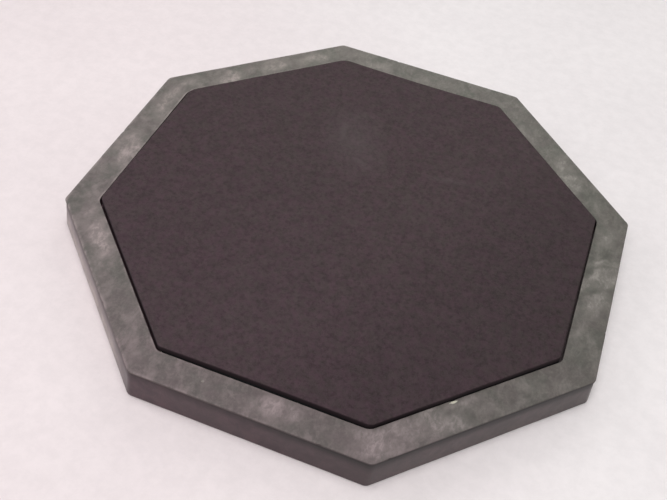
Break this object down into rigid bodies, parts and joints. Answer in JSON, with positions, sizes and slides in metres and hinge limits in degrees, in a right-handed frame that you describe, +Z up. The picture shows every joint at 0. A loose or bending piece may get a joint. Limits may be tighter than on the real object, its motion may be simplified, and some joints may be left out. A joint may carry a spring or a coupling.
{
  "type": "practice pad",
  "caption": "Octagonal drum practice pad: a dark rubber playing surface let into a dense board with a flat grey rim, lying flat on a non-slip underside.",
  "frame": {"origin": "centre of the underside, on the surface that the pad lies on", "axes": "+Z up through the playing surface; +X and +Y square to flats of the octagon"},
  "size_m": [0.3066, 0.3066, 0.022],
  "materials": {
    "board": "dense fibreboard, edge painted dark brown-black, satin",
    "facing": "matte grey facing with chalky, mottled wear",
    "surface_rubber": "matte, very fine even texture",
    "foam": "closed-cell foam, matte",
    "adhesive": "double-sided adhesive film",
    "underside_rubber": "thin matte non-slip rubber"
  },
  "bodies": {
    "root": {"base_board": "board", "rim_facing": "facing", "playing_surface": "surface_rubber", "surface_adhesive": "adhesive", "damping_foam": "foam", "foam_adhesive": "adhesive", "underside_adhesive": "adhesive", "underside_sheet": "underside_rubber"}
  },
  "joints": []
}
